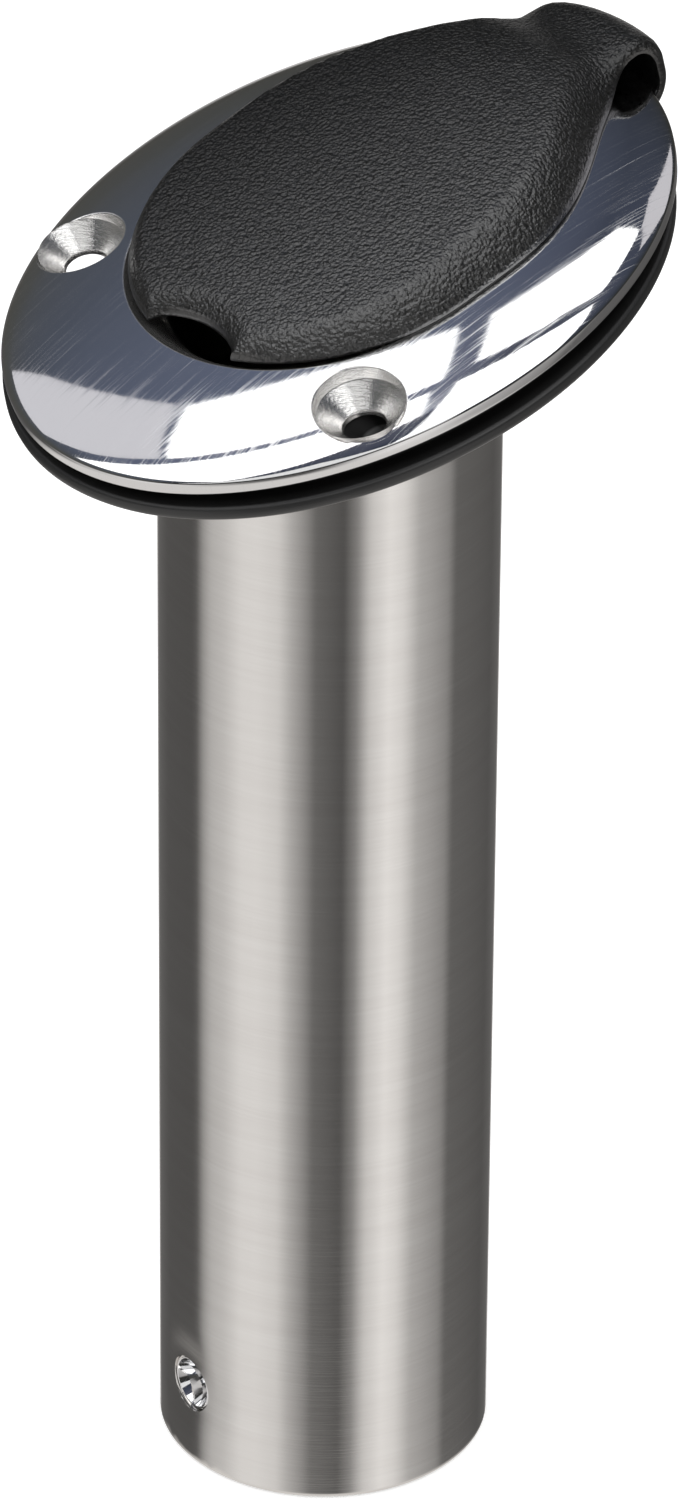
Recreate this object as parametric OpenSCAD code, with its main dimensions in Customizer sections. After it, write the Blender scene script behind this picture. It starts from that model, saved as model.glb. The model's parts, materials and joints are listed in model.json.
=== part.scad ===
// Flush-mount fishing rod holder.
// A round tube hangs under an oval flange that leans 15 degrees from square.
// A moulded cap closes the mouth, held by a flexible strap that loops over the
// high end of the flange and runs down into the gasket.
//
// +Z runs up the tube and the flange is high at +X. The origin is where the
// tube's axis meets the underside of the flange.

/* [Tube] */
// Outside diameter of the tube
tube_od = 44.45; // [44:0.05:45]
// Thickness of the tube's wall
tube_wall = 1.5; // [1.2:0.1:1.6]
// Length of the tube below the flange, along its axis
tube_length = 176.5; // [140:0.5:240]

/* [Flange] */
// Lean of the flange away from square to the tube
flange_tilt = 15; // [10:1:20]
// Length of the oval flange, along its lean
flange_length = 95.25; // [94:0.25:100]
// Width of the oval flange
flange_width = 76.2; // [75:0.1:80]
// Height of the widest line of the rim above the underside
rim_height = 1.7; // [1.2:0.1:2]
// Rise of the domed top above the rim
dome_rise = 5.4; // [4.5:0.1:6]
// How far the flange's centre sits from the tube's axis, to the high side
flange_shift = 1.8; // [1:0.1:2.5]

/* [Screw holes] */
// Diameter of each through hole
screw_d = 5.6; // [5:0.1:6]
// Diameter of each countersink
countersink_d = 11.6; // [10:0.1:12]
// Distance between the two holes at the low side
screw_spread = 54; // [52:0.5:56]
// Distance of that pair from the tube's axis, to the low side
screw_pair_x = 18.4; // [17:0.1:20]
// Distance of the third hole from the tube's axis, to the high side
screw_single_x = 40; // [38:0.5:41]

/* [Stop pin] */
// Outside diameter of the hollow pin across the foot of the tube
pin_d = 8; // [6:0.5:10]
// Height of the pin's axis above the foot
pin_height = 12.5; // [10:0.5:30]

/* [Gasket] */
// Thickness of the gasket
gasket_thick = 4; // [3:0.1:5]
// Length of the gasket
gasket_length = 93.8; // [92:0.1:96]
// Width of the gasket
gasket_width = 78.4; // [77:0.1:80]
// How far the gasket's centre sits from the tube's axis, to the high side
gasket_shift = 0.8; // [0:0.1:2]

/* [Cap] */
// Greatest width of the cap
cap_width = 50.4; // [48:0.1:52]
// Distance of the cap's low end from the tube's axis
cap_low_end = 26.4; // [25:0.1:27]
// Height of the cap's crown above the underside of the flange
cap_crown = 11.6; // [11:0.1:12]
// Width of the strap
strap_width = 18; // [16:0.5:20]
// Thickness of the strap where it leaves the cap
strap_thick = 2; // [1.5:0.1:2.2]

/* [Hidden] */

$fn = 96;
eps = 0.05;
far = 60;

tube_r = tube_od / 2;
bore_r = tube_r - tube_wall;
relief = 0.3;
relief_margin = 0.5;
mouth_relief_z = 0.3;
screw_r = screw_d / 2;
countersink_r = countersink_d / 2;
screw_land = 0.8;
countersink_top = 3.4;
weld_leg = 2;
weld_gap = 0.5;
gasket_screw_r = 5;

pin_wall = 0.8;
pin_fit = 0.03;
pin_recess = 0.4;

// The hinge line of the strap, measured in the flange's own frame
hinge_x = 48.2;
hinge_h = 4.1;
loop_inner_r = 2.6;
loop_outer_r = 4.5;
loop_gap = 0.05;
loop_end_angle = 130;

cap_centre_x = 2;
taper_end_x = 46;
taper_power = 1.74;
cap_gap = 0.1;
// The mouth opens out in an oval flare that ends at the cap's low end
flare_x = -0.9;
flare_foot = 0.4;
flare_rise = 6.2;
flare_r = 25;
flare_stretch = 1.05;
plug_r = 19.9;
plug_wall = 2.5;
plug_foot = 1.2;
plug_top = 7.5;
notch_width = 14;
notch_depth = 3;
notch_r = (pow(notch_width / 2, 2) + pow(notch_depth, 2)) / (2 * notch_depth);
strap_start_x = 42;
strap_end_x = 45.5;
strap_top = 8.7;

// Half width of the cap's outline at x: half an oval at the low end, then a
// smooth taper down to the strap at the high end
function taper(t) = let (s = pow(t, taper_power)) s * s * (3 - 2 * s);
function cap_half(x) = let (t = (x - cap_centre_x) / (taper_end_x - cap_centre_x))
    cap_width / 2 - (cap_width - strap_width) / 2 * taper(max(t, 0));

// Height of the domed top at a share u of the flange's half width
function dome_height(u) = rim_height + dome_rise * pow(1 - u * u, 0.6);

// Lays children out in the frame of the leaning flange
module on_flange() {
    rotate([0, -flange_tilt, 0]) children();
}

// Stretches and leans a round shape, so that its slices follow the tube
module along_tube() {
    multmatrix([
        [1 / cos(flange_tilt), 0, tan(flange_tilt), 0],
        [0, 1, 0, 0],
        [0, 0, 1, 0]
    ]) children();
}

// Turns a half section into a full round, one quarter at a time
module turned(section) {
    for (quarter = [0:3])
        rotate(90 * quarter) rotate_extrude(angle = 90) polygon(section);
}

// The oval domed plate without its holes, raised by lift
module oval_dome(lift = 0) {
    half = flange_width / 2;
    steps = 12;
    edge = [[0, 0], [half - 0.9, 0], [half - 0.2, 0.6], [half, rim_height - 0.3]];
    dome = [for (i = [0:steps]) let (u = cos(90 * i / steps)) [half * u, dome_height(u)]];
    translate([flange_shift, 0, lift])
        scale([flange_length / flange_width, 1, 1])
            turned(concat(edge, dome));
}

// An oval plate of the gasket's outline, cut flat above and below
module gasket_oval() {
    half = gasket_width / 2;
    section = [[0, -gasket_thick - 1], [half, -gasket_thick - 1], [half, 1], [0, 1]];
    difference() {
        translate([gasket_shift, 0, 0])
            scale([gasket_length / gasket_width, 1, 1]) turned(section);
        translate([-far, -far, 0]) cube([2 * far, 2 * far, far]);
        translate([-far, -far, -gasket_thick - far]) cube([2 * far, 2 * far, far]);
    }
}

module at_screws() {
    for (side = [-1, 1])
        translate([-screw_pair_x, side * screw_spread / 2, 0]) children();
    translate([screw_single_x, 0, 0]) children();
}

module screw_hole() {
    cone_h = countersink_top - screw_land;
    translate([0, 0, -1]) cylinder(h = far, r = screw_r);
    translate([0, 0, screw_land]) cylinder(h = cone_h, r1 = screw_r, r2 = countersink_r);
    translate([0, 0, countersink_top - eps]) cylinder(h = far, r = countersink_r);
}

module flange() {
    flare = [[0, 0], [flare_r - flare_rise, 0], [flare_r, flare_rise], [0, flare_rise]];
    color("silver") difference() {
        on_flange() difference() {
            oval_dome();
            at_screws() screw_hole();
            translate([flare_x, 0, flare_foot]) scale([flare_stretch, 1, 1]) turned(flare);
        }
        translate([0, 0, -far / 2]) cylinder(h = far, r = bore_r + relief);
    }
}

// The bore is eased a little wider at its mouth, and below the stop pin
module tube() {
    relief_h = pin_height + pin_d / 2 + relief_margin;
    color("lightgray") difference() {
        translate([0, 0, -tube_length]) cylinder(h = tube_length + far / 2, r = tube_r);
        translate([0, 0, -tube_length - 1]) cylinder(h = tube_length + far, r = bore_r);
        translate([0, 0, -tube_length - 1])
            cylinder(h = 1 + relief_h, r = bore_r + relief);
        translate([0, 0, mouth_relief_z]) cylinder(h = far, r = bore_r + relief);
        on_flange() translate([-far, -far, 0]) cube([2 * far, 2 * far, far]);
        at_pin() cylinder(h = 2 * tube_od, r = pin_d / 2 + pin_fit, center = true);
    }
}

module weld_fillet() {
    section = [[tube_r, -weld_leg], [tube_r + weld_leg, 0], [tube_r, 0]];
    color("darkgray") on_flange() along_tube() turned(section);
}

module at_pin() {
    translate([0, 0, pin_height - tube_length]) rotate([0, 90, 0]) children();
}

module cross_pin() {
    pin_length = tube_od - 2 * pin_recess;
    color("silver") at_pin() difference() {
        cylinder(h = pin_length, r = pin_d / 2, center = true);
        cylinder(h = 2 * pin_length, r = pin_d / 2 - pin_wall, center = true);
    }
}

module gasket() {
    hole_r = tube_r + weld_leg + weld_gap;
    color("dimgray") on_flange() difference() {
        gasket_oval();
        along_tube() translate([0, 0, -far / 2]) cylinder(h = far, r = hole_r);
        at_screws() translate([0, 0, -far / 2]) cylinder(h = far, r = gasket_screw_r);
    }
}

// Ring around the hinge line, as wide as the strap
module hinge_ring(inner, outer) {
    rotate([90, 0, 0]) difference() {
        cylinder(h = strap_width, r = outer, center = true);
        cylinder(h = 2 * strap_width, r = inner, center = true);
    }
}

// The fixed lower half of the strap: out from the gasket, up past the rim and
// over the hinge line
module strap_root() {
    leg = loop_outer_r - loop_inner_r;
    keep = [[0, 0], [far, 0], [far, far], [far * cos(loop_end_angle), far * sin(loop_end_angle)]];
    color("dimgray") on_flange() difference() {
        union() {
            translate([hinge_x, 0, hinge_h]) intersection() {
                hinge_ring(loop_inner_r, loop_outer_r);
                rotate([90, 0, 0]) linear_extrude(2 * strap_width, center = true) polygon(keep);
            }
            translate([hinge_x + loop_inner_r, -strap_width / 2, -gasket_thick])
                cube([leg, strap_width, hinge_h + gasket_thick]);
            translate([hinge_x - far / 10, -strap_width / 2, -gasket_thick])
                cube([far / 10 + loop_outer_r, strap_width, gasket_thick - 2 * cap_gap]);
        }
        gasket_oval();
    }
}

// The moving half of the strap: from the cap's tail to the crown of the loop
module strap() {
    steps = 8;
    side = [for (i = [0:steps]) let (x = strap_start_x + (strap_end_x - strap_start_x) * i / steps)
        [x, cap_half(x)]];
    other = [for (i = [steps:-1:0]) [side[i][0], -side[i][1]]];
    color("dimgray") on_flange() difference() {
        translate([0, 0, strap_top - strap_thick])
            linear_extrude(strap_thick) polygon(concat(side, other));
        translate([hinge_x, 0, hinge_h]) rotate([90, 0, 0])
            cylinder(h = far, r = loop_outer_r + loop_gap, center = true);
    }
}

module cap_outline() {
    steps = 24;
    oval = [for (i = [0:steps]) let (a = 90 + 180 * i / steps)
        [cap_centre_x + (cap_low_end + cap_centre_x) * cos(a), cap_width / 2 * sin(a)]];
    near = [for (i = [1:steps]) let (x = cap_centre_x + (strap_start_x - cap_centre_x) * i / steps)
        [x, -cap_half(x)]];
    difference() {
        polygon(concat(oval, near, [for (i = [steps:-1:1]) [near[i - 1][0], -near[i - 1][1]]]));
        translate([notch_depth - cap_low_end - notch_r, 0]) circle(r = notch_r);
    }
}

// Ring below the cap, in line with the tube, that plugs the mouth
module plug() {
    difference() {
        translate([0, 0, plug_foot]) cylinder(h = far, r = plug_r);
        cylinder(h = 2 * far, r = plug_r - plug_wall);
        on_flange() translate([-far, -far, plug_top]) cube([2 * far, 2 * far, far]);
    }
}

// A shallow crowned lid that follows the flange's dome underneath
module cap() {
    outline_foot = 2;
    crown_x = 12;
    crown_r = 155;
    color("black") union() {
        on_flange() difference() {
            intersection() {
                translate([0, 0, outline_foot]) linear_extrude(cap_crown) cap_outline();
                translate([crown_x, 0, cap_crown - crown_r]) sphere(r = crown_r, $fn = 360);
            }
            oval_dome(cap_gap);
        }
        plug();
    }
}

flange();
tube();
weld_fillet();
cross_pin();
gasket();
strap_root();
strap();
cap();
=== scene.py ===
import json
import math

import bmesh
import bpy
import numpy as np
from mathutils import Matrix, Vector
from mathutils.geometry import delaunay_2d_cdt


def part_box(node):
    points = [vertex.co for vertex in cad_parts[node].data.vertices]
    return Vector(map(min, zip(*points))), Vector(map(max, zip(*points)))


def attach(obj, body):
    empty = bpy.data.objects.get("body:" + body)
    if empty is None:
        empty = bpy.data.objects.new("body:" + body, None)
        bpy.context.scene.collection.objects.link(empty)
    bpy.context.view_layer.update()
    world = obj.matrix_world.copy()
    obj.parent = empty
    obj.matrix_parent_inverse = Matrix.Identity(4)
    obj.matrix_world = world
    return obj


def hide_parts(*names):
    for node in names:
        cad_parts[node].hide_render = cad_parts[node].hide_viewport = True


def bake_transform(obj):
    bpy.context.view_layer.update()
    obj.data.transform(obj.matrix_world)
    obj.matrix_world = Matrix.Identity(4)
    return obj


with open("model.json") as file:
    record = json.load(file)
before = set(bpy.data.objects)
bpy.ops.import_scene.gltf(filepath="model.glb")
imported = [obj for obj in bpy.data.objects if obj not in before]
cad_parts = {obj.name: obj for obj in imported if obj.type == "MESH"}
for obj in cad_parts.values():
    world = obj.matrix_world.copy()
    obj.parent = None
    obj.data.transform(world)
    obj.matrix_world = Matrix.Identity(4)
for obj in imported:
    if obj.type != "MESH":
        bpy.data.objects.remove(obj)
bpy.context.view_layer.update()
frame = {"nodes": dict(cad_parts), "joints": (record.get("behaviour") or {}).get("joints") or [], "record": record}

# ---------------------------------------------------------------------------
# The leaning frame of the flange. X runs up its lean, Y across, H out of its
# top, all in millimetres from the row's origin.
# ---------------------------------------------------------------------------

MM = 0.001
mounts = {m["name"]: m for m in frame["record"]["mounts"]}
UP = -np.array(mounts["deck_face"]["axis"], float)
ALONG = np.array([UP[2], 0.0, -UP[0]])
ACROSS = np.array([0.0, 1.0, 0.0])
LEAN = math.atan2(-UP[0], UP[2])


def to_row(points):
    """Points in the flange's frame, in millimetres, as row points in metres."""
    p = np.asarray(points, float)
    return MM * (p[:, :1] * ALONG + p[:, 1:2] * ACROSS + p[:, 2:3] * UP)


def from_row(points):
    """Row points in metres as points in the flange's frame, in millimetres."""
    p = np.atleast_2d(np.asarray(points, float)) / MM
    return np.stack([p @ ALONG, p @ ACROSS, p @ UP], 1)


def leaning_box(node):
    """Lowest and highest corner of a CAD node in the flange's frame."""
    co = from_row([v.co for v in frame["nodes"][node].data.vertices])
    return co.min(0), co.max(0)


# ---------------------------------------------------------------------------
# Sizes, in millimetres. What the CAD holds is read from it.
# ---------------------------------------------------------------------------

# Flange: an oval dome over an upright rim
flange_lo, flange_hi = leaning_box("flange")
FLANGE_X = (flange_lo[0] + flange_hi[0]) / 2
HALF_L = (flange_hi[0] - flange_lo[0]) / 2
HALF_W = (flange_hi[1] - flange_lo[1]) / 2
RIM_H = 1.7
DOME_RISE = 5.4
DOME_POWER = 0.6
OVAL_STEPS = 288
# Beyond this share of the oval the dome is drawn in rings, as it falls steeply
EDGE_U = 0.955

# Tube, with the number of columns and rows in its wall
TUBE_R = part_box("tube")[1].y / MM
TUBE_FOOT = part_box("tube")[0].z / MM
BORE_R = mounts["rod_bore"]["dims"]["r_mm"]
TUBE_COLUMNS = 160
TUBE_ROWS = 46

# The flange's oval mouth, which flares out from the bore
MOUTH_X = -0.9
MOUTH_HALF_L = 25.4
MOUTH_HALF_W = 24.2
MOUTH_TOP = 5.9

# Countersunk screw holes
SCREW_R = mounts["screw_single"]["dims"]["r_mm"]
SINK_R = 5.8
SINK_TOP = 3.4
SINK_LAND = 0.8
pair = from_row(mounts["screw_pair"]["pos_m"])[0]
half_spread = mounts["screw_pair"]["dims"]["pcd_mm"] / 2
SCREWS = [
    (pair[0], -half_spread),
    (pair[0], half_spread),
    (from_row(mounts["screw_single"]["pos_m"])[0][0], 0.0),
]

# Stop pin. It sits a little lower than the CAD's, and is turned about the tube
PIN_DROP = 0.7
PIN_TURN = math.radians(-6)
pin_lo, pin_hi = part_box("cross_pin")
PIN_R = (pin_hi.y - pin_lo.y) / 2 / MM
PIN_HALF = pin_hi.x / MM
PIN_Z = (pin_hi.z + pin_lo.z) / 2 / MM - PIN_DROP
# Its wall where its bore is narrowest, and the holes it sits in
PIN_WALL = 1.7
PIN_HOLE_R = PIN_R + 0.03
PIN_HOLE_STEPS = 56

# Gasket. The pair's screw holes widen downwards and slant outwards
gasket_lo, gasket_hi = leaning_box("gasket")
GASKET_X = (gasket_lo[0] + gasket_hi[0]) / 2
GASKET_HALF_L = (gasket_hi[0] - gasket_lo[0]) / 2
GASKET_HALF_W = (gasket_hi[1] - gasket_lo[1]) / 2
GASKET_H = gasket_lo[2]
GASKET_SCREW_R = 3.0
GASKET_SCREW_GROW = 0.6
GASKET_SLANT_X = 2.9
GASKET_SLANT_Y = 4.6

# Cap and strap
hinge = from_row(frame["joints"][0]["pos_m"])[0]
cap_lo, cap_hi = leaning_box("cap")
CAP_LOW = -cap_lo[0]
CAP_HALF_W = (cap_hi[1] - cap_lo[1]) / 2
CAP_CENTRE_X = 2.0
STRAP_HALF_W = leaning_box("strap_root")[1][1]
NOTCH_HALF = 7.0
NOTCH_DEPTH = 3.0
NOTCH_Y = -1.6
PLUG_R = BORE_R - 0.825
PLUG_WALL = 2.5
PLUG_FOOT = 1.2
PLUG_TOP = 7.4


# ---------------------------------------------------------------------------
# Mesh helpers
# ---------------------------------------------------------------------------


class Shape:
    """Collects grids and patches of one piece, then welds them into one mesh."""

    def __init__(self):
        self.points, self.faces, self.tags = [], [], []
        self.count = 0

    def add(self, points, faces, tag=0):
        self.points.append(np.asarray(points, float))
        self.faces += [tuple(i + self.count for i in f) for f in faces]
        self.tags += [tag] * len(faces)
        self.count += len(points)

    def rings(self, rings, tag=0, flip=False):
        """Joins closed rings of equal length, one after the other."""
        n = len(rings[0])
        faces = []
        for r in range(len(rings) - 1):
            for i in range(n):
                j = (i + 1) % n
                face = (r * n + i, r * n + j, (r + 1) * n + j, (r + 1) * n + i)
                faces.append(face[::-1] if flip else face)
        self.add(np.concatenate(rings), faces, tag)

    def build(self, name, materials, sharp_deg=35, weld=0.003):
        """Makes the object from points in the flange's frame."""
        mesh = bpy.data.meshes.new(name)
        mesh.from_pydata(to_row(np.concatenate(self.points)), [], self.faces)
        mesh.polygons.foreach_set("material_index", self.tags)
        for surface in materials:
            mesh.materials.append(surface)
        weld_and_orient(mesh, weld * MM)
        mesh.shade_smooth()
        mesh.set_sharp_from_angle(angle=math.radians(sharp_deg))
        piece = bpy.data.objects.new(name, mesh)
        bpy.context.scene.collection.objects.link(piece)
        return piece


def weld_and_orient(mesh, distance):
    """Joins points that lie closer than the distance, and turns faces outward."""
    bm = bmesh.new()
    bm.from_mesh(mesh)
    bmesh.ops.remove_doubles(bm, verts=bm.verts, dist=distance)
    bmesh.ops.dissolve_degenerate(bm, dist=distance / 4, edges=bm.edges)
    bmesh.ops.recalc_face_normals(bm, faces=bm.faces)
    bm.to_mesh(mesh)
    bm.free()


def loop_xy(centre_x, half_l, half_w, n, centre_y=0.0):
    """Points of a flat oval."""
    t = np.arange(n) * 2 * math.pi / n
    return np.stack([centre_x + half_l * np.cos(t), centre_y + half_w * np.sin(t)], 1)


def at_height(xy, h):
    """Flat points lifted to one height, or to a height each."""
    return np.column_stack([xy, np.broadcast_to(h, len(xy))])


def inside(points, polygon):
    """Which points lie inside a closed polygon."""
    x, y = points[:, 0], points[:, 1]
    result = np.zeros(len(points), bool)
    for (x0, y0), (x1, y1) in zip(polygon, np.roll(polygon, -1, 0)):
        if y0 == y1:
            continue
        crosses = (y0 > y) != (y1 > y)
        result ^= crosses & (x < (x1 - x0) * (y - y0) / (y1 - y0) + x0)
    return result


def clear_of(points, polygon, gap):
    """Which points stay at least gap away from a polygon's corners."""
    d = np.linalg.norm(points[:, None, :] - polygon[None, :, :], axis=2)
    return d.min(1) > gap


def triangulate(outline, holes, loose):
    """Triangles between a flat outline and its holes, which use the loose points."""
    loops = [outline, *holes]
    points = np.concatenate([*loops, loose])
    edges, start = [], 0
    for loop in loops:
        n = len(loop)
        edges += [(start + i, start + (i + 1) % n) for i in range(n)]
        start += n
    made = delaunay_2d_cdt([Vector(p) for p in points], edges, [], 0, 1e-6)
    flat = np.array([tuple(v) for v in made[0]])
    faces = np.array([tuple(f) for f in made[2]])
    middle = flat[faces].mean(1)
    keep = inside(middle, outline)
    for hole in holes:
        keep &= ~inside(middle, hole)
    return flat, [tuple(f) for f in faces[keep]]


def patch(outer, holes, spacing):
    """Fills a flat region with near-equal triangles."""
    lo, hi = outer.min(0), outer.max(0)
    xs = np.arange(lo[0], hi[0], spacing)
    ys = np.arange(lo[1], hi[1], spacing * 0.866)
    grid = np.array([(x + spacing / 2 * (j % 2), y) for j, y in enumerate(ys) for x in xs])
    keep = inside(grid, outer) & clear_of(grid, outer, spacing * 0.6)
    for hole in holes:
        keep &= ~inside(grid, hole) & clear_of(grid, hole, spacing * 0.6)
    return triangulate(outer, holes, grid[keep])


def smoothstep(t):
    """Eases from 0 to 1 while t goes from 0 to 1."""
    t = np.clip(t, 0, 1)
    return t * t * (3 - 2 * t)


# ---------------------------------------------------------------------------
# Material helpers
# ---------------------------------------------------------------------------


class Nodes:
    """A short way to write a material's node tree."""

    def __init__(self, tree):
        self.tree = tree

    def new(self, kind, **values):
        node = self.tree.nodes.new(kind)
        for key, value in values.items():
            setattr(node, key, value)
        return node

    def link(self, a, b):
        self.tree.links.new(a, b)

    def math(self, operation, *values, clamp=False):
        node = self.new("ShaderNodeMath", operation=operation, use_clamp=clamp)
        for i, value in enumerate(values):
            if isinstance(value, (int, float)):
                node.inputs[i].default_value = value
            else:
                self.link(value, node.inputs[i])
        return node.outputs[0]

    def ramp(self, fac, stops):
        node = self.new("ShaderNodeValToRGB")
        ramp = node.color_ramp
        while len(ramp.elements) < len(stops):
            ramp.elements.new(0.5)
        for element, (pos, value) in zip(ramp.elements, stops):
            element.position = pos
            colour = value if isinstance(value, tuple) else (value,) * 3
            element.color = (*colour, 1)
        self.link(fac, node.inputs[0])
        return node.outputs[0]

    def noise(self, vector, scale, detail=2.0, roughness=0.5):
        node = self.new("ShaderNodeTexNoise")
        node.inputs["Scale"].default_value = scale
        node.inputs["Detail"].default_value = detail
        node.inputs["Roughness"].default_value = roughness
        self.link(vector, node.inputs["Vector"])
        return node.outputs["Fac"]

    def scaled(self, vector, scale, rotation=(0, 0, 0)):
        node = self.new("ShaderNodeMapping")
        node.inputs["Scale"].default_value = scale
        node.inputs["Rotation"].default_value = rotation
        self.link(vector, node.inputs["Vector"])
        return node.outputs[0]

    def bump(self, height, strength, distance):
        node = self.new("ShaderNodeBump")
        node.inputs["Strength"].default_value = strength
        node.inputs["Distance"].default_value = distance
        self.link(height, node.inputs["Height"])
        return node.outputs[0]

    def along(self, vector, direction):
        """How far a vector reaches along a direction."""
        node = self.new("ShaderNodeVectorMath", operation="DOT_PRODUCT")
        self.link(vector, node.inputs[0])
        node.inputs[1].default_value = tuple(direction)
        return node.outputs["Value"]


def material(name):
    """A new material, its nodes, its shader and the object's coordinates."""
    made = bpy.data.materials.new(name)
    made.use_nodes = True
    nodes = Nodes(made.node_tree)
    shader = made.node_tree.nodes["Principled BSDF"]
    place = nodes.new("ShaderNodeTexCoord").outputs["Object"]
    return made, nodes, shader, place


def polished_steel():
    """Mirror-polished plate with fine straight scratches along its length."""
    made, n, shader, place = material("polished_steel")
    turn = (0, LEAN, math.radians(-9))
    fine = n.noise(n.scaled(place, (90, 6500, 90), turn), 1.0, 3.0, 0.65)
    sparse = n.noise(n.scaled(place, (45, 3600, 45), turn), 1.0, 2.0)
    soft = n.noise(place, 70.0, 3.0)
    hair = n.ramp(fine, [(0.50, 0.0), (0.68, 1.0)])
    score = n.ramp(sparse, [(0.60, 0.0), (0.70, 1.0)])
    rough = n.math("MULTIPLY_ADD", hair, 0.13, 0.02)
    rough = n.math("MULTIPLY_ADD", score, 0.12, rough)
    rough = n.math("MULTIPLY_ADD", soft, 0.015, rough)
    shader.inputs["Base Color"].default_value = (0.86, 0.86, 0.865, 1)
    shader.inputs["Metallic"].default_value = 1
    n.link(rough, shader.inputs["Roughness"])
    n.link(n.bump(n.math("ADD", fine, sparse), 0.009, 0.0001), shader.inputs["Normal"])
    return made


def turned_steel():
    """Countersinks and holes: bright metal with fine turning marks."""
    made, n, shader, place = material("turned_steel")
    rings = n.noise(n.scaled(place, (500, 500, 7000), (0, LEAN, 0)), 1.0, 4.0, 0.7)
    chatter = n.noise(n.scaled(place, (2600, 2600, 900), (0, LEAN, 0)), 1.0, 3.0, 0.6)
    tone = n.ramp(rings, [(0.3, (0.72, 0.71, 0.69)), (0.6, (0.95, 0.94, 0.93))])
    shader.inputs["Metallic"].default_value = 0.93
    n.link(tone, shader.inputs["Base Color"])
    n.link(n.math("MULTIPLY_ADD", chatter, 0.16, 0.06), shader.inputs["Roughness"])
    n.link(n.bump(n.math("ADD", rings, chatter), 0.3, 0.0001), shader.inputs["Normal"])
    return made


def brushed_steel():
    """Tube finished by a belt that ran round its girth."""
    made, n, shader, place = material("brushed_steel")
    girth = n.noise(n.scaled(place, (70, 70, 3800)), 1.0, 3.0, 0.65)
    wide = n.noise(n.scaled(place, (18, 18, 420)), 1.0, 2.0)
    cloud = n.noise(n.scaled(place, (40, 40, 9)), 1.0, 2.0)
    streak = n.math("MULTIPLY_ADD", girth, 0.35, n.math("MULTIPLY", wide, 0.4))
    tone = n.ramp(streak, [(0.2, (0.84, 0.82, 0.8)), (0.6, (0.93, 0.92, 0.9))])
    shader.inputs["Metallic"].default_value = 1
    n.link(tone, shader.inputs["Base Color"])
    rough = n.math("MULTIPLY_ADD", girth, 0.07, 0.05)
    rough = n.math("MULTIPLY_ADD", cloud, 0.03, rough)
    n.link(rough, shader.inputs["Roughness"])
    n.link(n.bump(girth, 0.05, 0.0001), shader.inputs["Normal"])
    return made


def weld_steel():
    """Heat-tinted weld bead."""
    made, n, shader, place = material("weld_steel")
    mottle = n.noise(place, 700.0, 3.0)
    tint = n.ramp(mottle, [
        (0.3, (0.30, 0.27, 0.25)), (0.55, (0.55, 0.50, 0.44)), (0.8, (0.66, 0.66, 0.68)),
    ])
    shader.inputs["Metallic"].default_value = 1
    n.link(tint, shader.inputs["Base Color"])
    n.link(n.math("MULTIPLY_ADD", mottle, 0.3, 0.25), shader.inputs["Roughness"])
    n.link(n.bump(mottle, 0.3, 0.0002), shader.inputs["Normal"])
    return made


def smooth_vinyl():
    """Satin black vinyl of the gasket, with painted shade up in its recess that makes it duller and darker there.
    """
    made, n, shader, place = material("gasket_vinyl")
    cloud = n.noise(place, 120.0, 3.0)
    speck = n.noise(place, 2400.0, 2.0)
    # Painted shade: up in the recess under the flange the vinyl is darker and less glossy than on the lip. The lip
    # starts 1.65 mm below the flange and is at full strength at 1.9 mm
    lip = n.math("MULTIPLY_ADD", n.along(place, UP), -4000.0, -6.6, clamp=True)
    tint = n.math("MULTIPLY_ADD", cloud, 0.010, 0.010)
    tint = n.math("MULTIPLY", tint, n.math("MULTIPLY_ADD", lip, 0.8, 0.2))
    n.link(tint, shader.inputs["Base Color"])
    n.link(n.math("MULTIPLY_ADD", cloud, 0.12, 0.3), shader.inputs["Roughness"])
    n.link(n.math("MULTIPLY_ADD", lip, 0.45, 0.1), shader.inputs["Specular IOR Level"])
    n.link(n.bump(speck, 0.1, 0.0001), shader.inputs["Normal"])
    return made


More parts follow.
